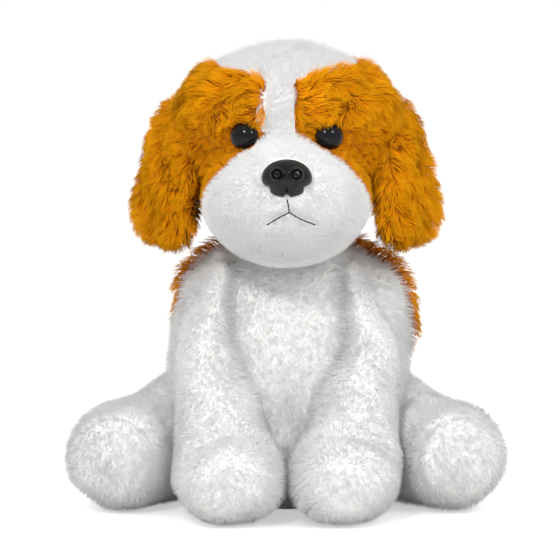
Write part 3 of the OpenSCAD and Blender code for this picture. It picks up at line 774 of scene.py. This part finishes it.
def head_region(a, b):
    """1, orange, on the sides between the front strip and the nape, and 0, white, elsewhere."""
    turn, lift = head_angles(a, b)
    orange = (from_blaze(turn, lift) > strip_half(lift)) & (np.abs(turn) < 180 - nape_half(lift))
    return (orange & (lift < 62)).astype(int)


def make_body():
    """The body's skin, the filling in it, and the pellet pouch in the seat."""
    skin = closed_skin("body_skin", body_shape, BODY_SKIN, 90, 90, [WHITE_GROUND, ORANGE_GROUND], body_region)
    soft_piece(skin, ["chest_panel", "back_panel", "left_flank_panel", "right_flank_panel",
                                    "seat_panel"])
    filling = closed_skin("body_filling", body_shape, FILLING_DEPTH, 30, 36, [FIBRE])
    soft_piece(filling, ["body_stuffing"])
    low, high = corners("pellet_pouch")
    middle, half = (low + high) / 2, (high - low) / 2

    def pouch_shape(a, b, depth=0.0):
        """A round cushion: radius sin(pi a)^0.6, height -cos(pi a), with pellets showing as lumps."""
        r = np.sin(math.pi * a) ** 0.6
        p = np.stack([r * np.cos(TURN * b), r * np.sin(TURN * b), -np.cos(math.pi * a)], -1) * half + middle
        return p + unit(p - middle) * (waves(p, 5.0, 21) * 0.3)[..., None]

    pouch = closed_skin("pouch", pouch_shape, 0.0, 36, 72, [POUCH])
    soft_piece(pouch, ["pellet_pouch"])
    for piece in (skin, filling, pouch):
        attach(piece, "torso")


def make_head():
    """The head's skin and the filling in it."""
    grounds = [WHITE_GROUND, ORANGE_GROUND]
    skin = closed_skin("head_skin", head_shape, HEAD_SKIN, 110, 100, grounds, head_region)
    soft_piece(skin, ["crown_panel", "forehead_gusset", "chin_panel", "left_head_panel",
                                    "right_head_panel", "left_muzzle_panel", "right_muzzle_panel"])
    filling = closed_skin("head_filling", head_shape, FILLING_DEPTH, 30, 36, [FIBRE])
    soft_piece(filling, ["head_stuffing"])
    for piece in (skin, filling):
        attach(piece, "head")


def make_neck(rng):
    """A short furred ring of cloth between the body and the head: an ellipsoid round the neck's plug."""
    low, high = corners("neck_stuffing")
    middle = np.array([(low[0] + high[0]) / 2, (low[1] + high[1]) / 2 + 2, low[2] - 1])
    half = np.array([36, 28, 13])

    def neck_shape(a, b, depth=0.0):
        """Middle + half * (sin(pi a) cos t, sin(pi a) sin t, -cos(pi a)), t = 2 pi b."""
        r = np.sin(math.pi * a)
        p = np.stack([r * np.cos(TURN * b), r * np.sin(TURN * b), -np.cos(math.pi * a)], -1)
        return middle + p * (half - np.asarray(depth)[..., None])

    skin = soft_piece(closed_skin("neck_skin", neck_shape, 1.5, 24, 48, [WHITE_GROUND]),
                      ["neck_stuffing"])
    a, b = scatter(neck_shape, 0.8, rng)
    belt = (a > 0.2) & (a < 0.8)
    a, b = a[belt], b[belt]
    p, up, _ = stand(neck_shape, a, b, 1.5)
    down = np.broadcast_to([0.0, 0.0, -1.0], p.shape)
    pile = grow("neck_pile", p, up, down, np.full(len(p), 6.0), 0.36, WHITE_PILE, rng, seed=31)
    for piece in (skin, pile):
        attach(piece, "neck")


# ---- Pile on each part ------------------------------------------------------------------

def faced(up, share):
    """Directions turned towards the front by a share, most where they already face it."""
    return unit(mix(up, [0.0, -1.0, 0.25], share * rise(0.3, -0.4, up[:, 1])))


def body_pile(rng):
    """White pile on the chest and flanks, long orange pile on the back, all combed down. Beside the
    front legs the chest's pile is longer and runs outwards, over the crease."""
    a, b = scatter(body_shape, 1.15, rng)
    p, up, climb = stand(body_shape, a, b, BODY_SKIN)
    orange = body_region(a, b) == 1
    low = p[:, 2] < 3.0
    for name, chosen, share in (("chest_pile", ~orange & ~low, 0.94), ("back_pile", orange & ~low, 0.32)):
        thin = chosen & (rng.random(len(a)) < share)
        q, n, c = p[thin], up[thin], climb[thin]
        if name == "back_pile":
            way, long = -c + [0, 0, -0.2], 12.0 + 6.0 * rise(128, 152, q[:, 2])
            made = grow(name, q, n, way, long, 0.5, ORANGE_PILE, rng, 60, 28, True,
                        tuft=5.5, pull=0.6, seed=41)
        else:
            beside = rise(16, 30, np.abs(q[:, 0])) * rise(60, 90, q[:, 2]) * rise(10, -10, q[:, 1])
            out = np.stack([np.sign(q[:, 0]) * beside, -0.6 * beside, 0 * beside], -1)
            way, long = -c + [0, 0, -0.2] + out, 4.4 + 3.6 * beside
            made = grow(name, q, n, way, long, 0.34, WHITE_PILE, rng, 62, seed=42, tuft=4.0,
                        pull=0.1, stray=0.3, swirl=0.4, swirl_size=26.0, lit=faced(n, 0.3))
        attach(made, "torso")


def eye_centre(side):
    """The middle of an eye's face on the head's surface, in mm, from its CAD node's box."""
    low, high = corners(f"{'right' if side > 0 else 'left'}_eye")
    turned = head_point(np.array([side * EYE_TURN * 1.0]), np.array([EYE_LIFT * 1.0]))[0]
    return np.array([(low[0] + high[0]) / 2 * 0.25 + turned[0] * 0.75, turned[1], turned[2]])


NOSE_AT = head_point(np.array([0.0]), np.array([-0.5]))[0]


def clear_of_face(p, half, tip):
    """True for strands that leave the eyes and the nose showing. Over the top of an eye, the brow's
    tips may hang down as far as 0.42 of its radius above its middle."""
    kept = np.ones(len(p), bool)
    front = tip[:, 1] < -55
    for side in (1, -1):
        eye = eye_centre(side)
        for q, reach, lid in ((p, 0.84, 0.84), (half, 0.80, 0.55), (tip, 0.77, 0.42)):
            x, z = (q[:, 0] - eye[0]) / EYE_R, (q[:, 2] - eye[2]) / EYE_R
            over = (x / reach) ** 2 + (z / np.where(z > 0, lid, reach)) ** 2
            kept &= ~((over < 1) & front)
    for q, grow_by in ((p, 0.92), (tip, 0.86)):
        off = ((q[:, 0] - NOSE_AT[0]) / 15) ** 2 + ((q[:, 2] - NOSE_AT[2]) / 11.5) ** 2
        kept &= ~((off < grow_by**2) & (q[:, 1] < -100))
    return kept


def round_eyes(p, way, below_only=False):
    """Turns the combing away from an eye's middle, wholly at 9 mm from it and not at all past 18 mm."""
    for side in (1, -1):
        eye = eye_centre(side)
        off = p - eye
        share = rise(18, 9, np.linalg.norm(off, axis=-1)) * 0.9
        if below_only:
            share = share * rise(2, -3, off[:, 2])
        way = mix(unit(way), unit(off), share)
    return way


def head_pile(rng):
    """Short white pile on the muzzle, blaze and crown, and long orange pile on both sides.
    The muzzle's runs out from the nose; the brows' runs outwards, then down over the eyes."""
    a, b = scatter(head_shape, 3.3, rng, 120, 120)
    turn, lift = head_angles(a, b)
    p, up, _ = stand(head_shape, a, b, HEAD_SKIN)
    orange = head_region(a, b) == 1
    share = rng.random(len(a))
    side = np.sign(turn)[:, None]

    muzzle = ~orange & (lift < 22) & (np.abs(turn) < 90) & (lift > -62)
    q, n = p[muzzle], up[muzzle]
    away = q - NOSE_AT
    reach = np.linalg.norm(away, axis=-1)
    way = mix(unit(away), np.array([0, 0.15, -1.0]), rise(30, 75, reach) * rise(-5, -30, lift[muzzle]))
    long = 3.0 + 1.4 * rise(12, 60, reach)
    made = grow("muzzle_pile", q, n, round_eyes(q, way), long, 0.28, WHITE_SHORT, rng,
                58, tuft=4.0, pull=0.12, stray=0.35, swirl=0.4, seed=51, keep=clear_of_face,
                lit=faced(n, 0.4))
    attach(made, "head")

    crown = ~orange & ~muzzle & (share < 0.7)
    q, n = p[crown], up[crown]
    front = rise(-5, -70, q[:, 1])
    way = mix([0, 0.6, -1.0], [0, 1.0, 0.35], front)
    long = 6.2 + 1.2 * rise(-70, 0, q[:, 1])
    made = grow("crown_pile", q, n, round_eyes(q, way), long, 0.30, WHITE_PILE, rng, 50,
                tuft=5.2, pull=0.25, stray=0.35, swirl=0.4, seed=52, keep=clear_of_face)
    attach(made, "head")

    brow, cheek = (lift > 22) & (share < 0.46), (lift <= 22) & (share < 0.6)
    for name, sign in SIDES.items():
        for part, bent, chosen in (("brow", True, brow), ("cheek", False, cheek)):
            where = orange & (side[:, 0] == sign) & chosen
            q, n, l, t = p[where], up[where], lift[where], np.abs(turn[where])
            high = rise(21, 29, l)
            low_way = mix([0.35 * sign, 0.75, -0.55], [0.15 * sign, 0.3, -0.95], rise(0, -30, l))
            brow_way = mix([0.5 * sign, -0.3, -0.85], [0.85 * sign, 0.35, -0.25], rise(30, 48, l))
            way = round_eyes(q, mix(low_way, brow_way, high), below_only=True)
            long = 5.0 + 8.0 * high * rise(120, 70, t) + 4.0 * rise(45, 80, t) * (1 - high)
            made = grow(f"{name}_{part}_pile", q, n, way, long, 0.34, ORANGE_PILE, rng,
                        56, 28, bent, tuft=6.0, pull=0.48, stray=0.26, swirl=0.6, swirl_size=18.0,
                        seed=53 + sign, keep=clear_of_face)
            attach(made, "head")


def leg_parts(name, sign, kind, rng):
    """One leg: its skin, its filling and its pile, combed towards the foot.
    A front leg's pile runs over the crease between its upper half and the chest, and fills the gap between
    the paws."""
    if kind == "front":
        nodes = [f"{name}_front_leg_outer", f"{name}_front_leg_inner", f"{name}_front_paw_sole"]
        rows, ref, dense, fold, long = FRONT_ROWS, [0, -1, 0.35], 1.45, sole_fold, 4.4
    else:
        nodes = [f"{name}_hind_leg_upper", f"{name}_hind_leg_under", f"{name}_hind_sole"]
        rows, ref, dense, fold, long = HIND_ROWS, [0, 0, 1], 1.22, foot_fold, 5.6
    shape = limb_shape(nodes, rows, ref, sign, 1.1, 61 + sign, fold)
    skin = soft_piece(closed_skin(f"{name}_{kind}_leg_skin", shape, LEG_SKIN, 64, 56, [WHITE_GROUND]),
                      nodes)
    filling = soft_piece(closed_skin(f"{name}_{kind}_leg_filling", shape, FILLING_DEPTH, 20, 20, [FIBRE]),
                         [f"{name}_{kind}_leg_stuffing"])
    a, b = scatter(shape, dense, rng)
    p, up, ahead = stand(shape, a, b, LEG_SKIN)
    way = mix(ahead, [0.1 * sign, -0.25, -1.0], rise(0.62, 0.86, a))
    long = long - 0.4 * rise(0.7, 0.9, a)
    lit = faced(up, 0.4)
    if kind == "front":
        upper = rise(0.62, 0.38, a)
        inner = upper * rise(0.1, -0.5, up[:, 0] * sign)
        way = way + np.array([-0.9 * sign, -0.5, 0.0]) * inner[:, None]
        facing = rise(0.0, -0.6, up[:, 0] * sign) * rise(0.62, 0.86, a)
        way = way + np.array([-1.2 * sign, 0.0, 0.0]) * facing[:, None]
        long = long + 3.0 * inner + 2.5 * facing
        lit = faced(up, 0.4 + 0.2 * upper)
    made = grow(f"{name}_{kind}_leg_pile", p, up, way, long, 0.34, WHITE_PILE, rng, 62,
                tuft=4.0, pull=0.1, stray=0.3, swirl=0.4, swirl_size=26.0, seed=63 + sign, lit=lit)
    bend([skin, filling, made])


def ear_parts(name, sign, rng):
    """One ear: a flat stuffed lobe with long pile that hangs down it and fans out at its tip."""
    nodes = [f"{name}_ear_outer", f"{name}_ear_lining"]
    shape = limb_shape(nodes, EAR_ROWS, [0.80, -0.60, 0], sign, 0.6, 71)
    skin = soft_piece(closed_skin(f"{name}_ear_skin", shape, EAR_SKIN, 48, 48, [ORANGE_GROUND]),
                      nodes)
    filling = soft_piece(closed_skin(f"{name}_ear_filling", shape, FILLING_DEPTH, 20, 20, [FIBRE]),
                         [f"{name}_ear_wadding"])
    a, b = scatter(shape, 1.3, rng)
    p, up, ahead = stand(shape, a, b, EAR_SKIN)
    spine = along(shape.rows, (1 - np.cos(math.pi * a)) / 2)[:, :3]
    spread = unit(p - spine)
    way = unit(ahead) + spread * (0.35 + 0.9 * rise(0.7, 1.0, a))[:, None] + [0, 0, -0.35]
    long = 10.5 + 2.0 * rise(0.2, 0.6, a) - 1.5 * rise(0.8, 1.0, a)
    made = grow(f"{name}_ear_pile", p, up, way, long, 0.36, ORANGE_PILE, rng, 54, 28,
                True, tuft=6.2, pull=0.5, stray=0.26, swirl=0.6, swirl_size=18.0, seed=73 + sign)
    bend([skin, filling, made])


def tail_parts(rng):
    """The tail: a short stuffed tube that curls up, with long pile along it."""
    nodes = ["tail_upper", "tail_under"]
    shape = limb_shape(nodes, TAIL_ROWS, [0, 0, 1], 0, 0.4, 81)
    skin = soft_piece(closed_skin("tail_skin", shape, TAIL_SKIN, 36, 32, [ORANGE_GROUND]),
                      nodes)
    filling = soft_piece(closed_skin("tail_filling", shape, TAIL_FILLING_DEPTH, 14, 14, [FIBRE]),
                         ["tail_stuffing"])
    a, b = scatter(shape, 0.8, rng)
    p, up, ahead = stand(shape, a, b, TAIL_SKIN)
    made = grow("tail_pile", p, up, ahead, np.full(len(p), 11.0), 0.46, ORANGE_PILE,
                rng, 46, 20, True, tuft=4.8, pull=0.6, seed=83)
    bend([skin, filling, made])


# ---- Eyes, nose and mouth --------------------------------------------------------------

def turned_solid(name, profile, at, look, steps, materials, shares):
    """A profile of (radius, height) turned about the direction look, through at:
    at + e1 r cos t + e2 r sin t + look h. Each row of the profile is at its share of the way up the map."""
    look = unit(np.array(look, float))
    e1 = unit(np.cross([0.0, 0.0, 1.0], look))
    e2 = np.cross(look, e1)
    profile = np.array(profile, float)

    def shape(a, b, depth=0.0):
        """The turned profile; depth is not used, as the solid is hard."""
        r, h = np.interp(a, shares, profile[:, 0]), np.interp(a, shares, profile[:, 1])
        return at + (e1 * (r * np.cos(TURN * b))[..., None] + e2 * (r * np.sin(TURN * b))[..., None]
                     + look * h[..., None])

    return closed_skin(name, shape, 0.0, 96, steps, materials)


def make_eye(name, sign):
    """A glossy dome, 0.72 as high as its radius, over a flat back with a ribbed shank.
    The map's v starts at the front of the dome, which takes up the first 0.62 of it."""
    t = np.linspace(0, math.pi / 2, 40)
    dome = [(EYE_R * math.sin(x), 0.4 + EYE_R * 0.72 * math.cos(x)) for x in t]
    edge = [(EYE_R, 0.2), (EYE_R - 0.3, -0.2)]
    shank = [(2.4, -0.4)]
    for i in range(5):
        shank += [(2.4, -2.4 - 2.2 * i), (2.0, -2.8 - 2.2 * i), (2.0, -3.2 - 2.2 * i), (2.4, -3.6 - 2.2 * i)]
    shank += [(2.2, -13.8), (0.0, -14.0)]
    profile = dome + edge + shank
    shares = np.concatenate([np.linspace(0, 0.62, len(dome)), np.linspace(0.64, 1, len(edge) + len(shank))])
    at = head_point(np.array([sign * EYE_TURN * 1.0]), np.array([EYE_LIFT * 1.0]))[0]
    made = turned_solid(f"{name}_eye_dome", profile, at, [0.20 * sign, -1, 0.10], 64, [EYE_PLASTIC], shares)
    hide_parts(f"{name}_eye")
    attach(made, "head")


def make_nose():
    """A moulded nose. In front view its edge is an ellipse pulled in at the lower corners and notched below,
    which leaves two round lobes; its face stands out by 9 (1 - r^2.4)^0.55 mm, with a raised ring and tail
    round each nostril and a groove between. Behind its edge a wall runs 5 mm back to a flat base."""
    low, high = corners("nose")
    half_w, half_h = (high[0] - low[0]) / 2, (high[2] - low[2]) / 2 + 0.9
    middle = np.array([(low[0] + high[0]) / 2, low[1] + 9.2, (low[2] + high[2]) / 2])

    def edge(t):
        """The outline's radius by angle."""
        x, z = np.cos(t), np.sin(t)
        r = 1 / np.sqrt((x / half_w) ** 2 + (z / half_h) ** 2)
        bottom = np.degrees(np.arctan2(x, -z))
        notch = np.exp(-((bottom / 8) ** 2)) * 1.6
        waist = np.exp(-(((np.abs(bottom) - 64) / 11) ** 2)) * 2.2
        return r - notch - waist

    def shape(a, b, depth=0.0):
        """Front for a up to 0.8, wall to 0.9, base to 1."""
        t = TURN * b
        r = np.where(a < 0.8, np.sin(math.pi / 2 * np.clip(a / 0.8, 0, 1)),
                     np.where(a < 0.9, 1 - 0.06 * (a - 0.8) / 0.1, 0.94 * (1 - a) / 0.1))
        rim = edge(t)
        x, z = rim * r * np.cos(t), rim * r * np.sin(t)
        face = 9.0 * np.maximum(1 - r**2.4, 0) ** 0.55
        out = np.where(a < 0.8, face, -5.0 * np.clip((a - 0.8) / 0.1, 0, 1))
        on = (a < 0.76).astype(float)
        for side in (1, -1):
            cx, cz = 5.7 * side, 3.1
            off = np.hypot(x - cx, (z - cz) * 1.05)
            out = out + on * 0.9 * np.exp(-(((off - 3.7) / 0.6) ** 2))
            out = out - on * 1.5 * (1 - rise(1.6, 3.3, off))
            f = np.clip((cz + 0.5 - z) / 8.0, 0, 1)
            line = cx - side * (3.7 - 3.4 * f * f)
            tail = np.exp(-(((x - line) / 0.6) ** 2)) * rise(cz + 1.0, cz - 1.5, z) * rise(-6.5, -4.0, z)
            out = out + on * 0.85 * tail
        groove = np.exp(-((x / 0.9) ** 2)) * rise(-2.0, -6.0, z)
        out = out - on * 1.2 * groove
        return middle + np.stack([x, -out, z], -1)

    made = closed_skin("nose_mould", shape, 0.0, 150, 160, [NOSE_PLASTIC])
    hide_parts("nose")
    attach(made, "head")


def make_mouth():
    """Thread laid in the muzzle's fold: a tube of radius 0.42 mm that swells and dips stitch by stitch."""
    steps, around = 60, 8
    points, faces, sizes, uvs, base = [], [], [], [], 0
    for ends in MOUTH_LINES:
        turn, lift = mouth_path(ends, steps)
        f = np.linspace(0, 1, steps)
        stitches = 3 if ends is MOUTH_LINES[0] else 5
        rise_out = 1.15 + 0.45 * np.abs(np.sin(math.pi * stitches * f))
        line = head_point(turn, lift, -rise_out)
        ahead = unit(np.gradient(line, axis=0))
        up = unit(line - HEAD_MID)
        side = unit(np.cross(ahead, up))
        up = np.cross(side, ahead)
        r = 0.42 * (0.62 + 0.38 * np.abs(np.sin(math.pi * stitches * f)) ** 0.5)
        r[[0, -1]] = 0.02
        t = TURN * np.arange(around) / around
        ring = side[:, None] * np.cos(t)[:, None] + up[:, None] * np.sin(t)[:, None]
        tube = line[:, None] + ring * r[:, None, None]
        i, j = np.meshgrid(np.arange(steps - 1), np.arange(around), indexing="ij")
        i, j, k = i.ravel(), j.ravel(), (j.ravel() + 1) % around
        this, after = base + i * around, base + (i + 1) * around
        quad = np.stack([this + j, after + j, after + k, this + k], -1)
        u0, u1, v0, v1 = j / around, (j + 1) / around, i / (steps - 1), (i + 1) / (steps - 1)
        uvs.append(face_map((u0, v0), (u0, v1), (u1, v1), (u1, v0)).reshape(-1, 2))
        faces.append(quad.ravel())
        sizes.append(np.full(len(quad), 4))
        cap_first = np.arange(around) + base
        cap_last = (steps - 1) * around + np.arange(around)[::-1] + base
        for cap in (cap_first, cap_last):
            faces.append(cap)
            sizes.append(np.array([around]))
            uvs.append(np.stack([0.5 + 0.4 * np.cos(t), 0.5 + 0.4 * np.sin(t)], -1))
        points.append(tube.reshape(-1, 3))
        base += steps * around
    made = put_mesh("mouth_thread", np.concatenate(points), np.concatenate(faces), np.concatenate(sizes),
                    [BLACK_THREAD], np.concatenate(uvs))
    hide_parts("mouth_stitching")
    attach(made, "head")


# ---- The whole dog -------------------------------------------------------------------------

make_body()
make_head()
make_neck(np.random.default_rng(101))
body_pile(np.random.default_rng(102))
head_pile(np.random.default_rng(103))
for part, sign in SIDES.items():
    leg_parts(part, sign, "front", np.random.default_rng(110 + sign))
    leg_parts(part, sign, "hind", np.random.default_rng(120 + sign))
    ear_parts(part, sign, np.random.default_rng(130 + sign))
    make_eye(part, sign)
tail_parts(np.random.default_rng(140))
make_nose()
make_mouth()

KEPT_NODES = {
    "closing_stitches": WHITE_THREAD, "neck_seam_thread": WHITE_THREAD,
    "left_eye_washer": WASHER, "right_eye_washer": WASHER, "nose_washer": WASHER}
for node_name, finish_material in KEPT_NODES.items():
    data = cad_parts[node_name].data
    data.materials.clear()
    data.materials.append(finish_material)


# ---- Floor, world and lamps ------------------------------------------------------------------

def seen_directly(tree):
    """1 where the camera, or a mirror-like or clear surface, sees this; 0 for light on the dog."""
    path = tree.nodes.new("ShaderNodeLightPath")
    most = math_node(tree, "MAXIMUM", path.outputs["Is Camera Ray"], path.outputs["Is Transmission Ray"])
    return math_node(tree, "MAXIMUM", most, path.outputs["Is Glossy Ray"])


def make_floor():
    """A wide pale floor at the seat's height that keeps a faint shadow, and shows white to the camera."""
    mesh = bpy.data.meshes.new("floor")
    r = 6.0
    mesh.from_pydata([(-r, -r, 0), (r, -r, 0), (r, r, 0), (-r, r, 0)], [], [(0, 1, 2, 3)])
    made = bpy.data.objects.new("floor", mesh)
    bpy.context.scene.collection.objects.link(made)
    finish, tree, shader = new_material("floor_finish", 0.9, 0.0)
    shader.inputs["Base Color"].default_value = (0.80, 0.80, 0.79, 1)
    shader.inputs["Emission Color"].default_value = (1, 1, 1, 1)
    tree.links.new(math_node(tree, "MULTIPLY", seen_directly(tree), 0.5), shader.inputs["Emission Strength"])
    mesh.materials.append(finish)


def make_world():
    """White where it is seen, and a plain soft light on the dog."""
    world = bpy.data.worlds.new("studio")
    bpy.context.scene.world = world
    world.use_nodes = True
    tree = world.node_tree
    ground = next(n for n in tree.nodes if n.type == "BACKGROUND")
    ground.inputs["Color"].default_value = (1, 1, 1, 1)
    strength = math_node(tree, "ADD", math_node(tree, "MULTIPLY", seen_directly(tree), 0.02), 0.98)
    tree.links.new(strength, ground.inputs["Strength"])


def make_lamp(name, at, size, power):
    """A round soft lamp aimed at the dog's middle."""
    data = bpy.data.lights.new(name, "AREA")
    data.shape, data.size, data.energy = "DISK", size, power
    lamp = bpy.data.objects.new(name, data)
    lamp.location = at
    lamp.rotation_mode = "QUATERNION"
    lamp.rotation_quaternion = (Vector((0, -0.02, 0.15)) - lamp.location).to_track_quat("-Z", "Y")
    bpy.context.scene.collection.objects.link(lamp)


make_floor()
make_world()
make_lamp("front_lamp", Vector((-0.45, -1.6, 1.2)), 0.3, 10.5)
make_lamp("side_lamp", Vector((0.9, -1.2, 1.0)), 0.4, 5)
bpy.context.scene.view_settings.view_transform = "Standard"
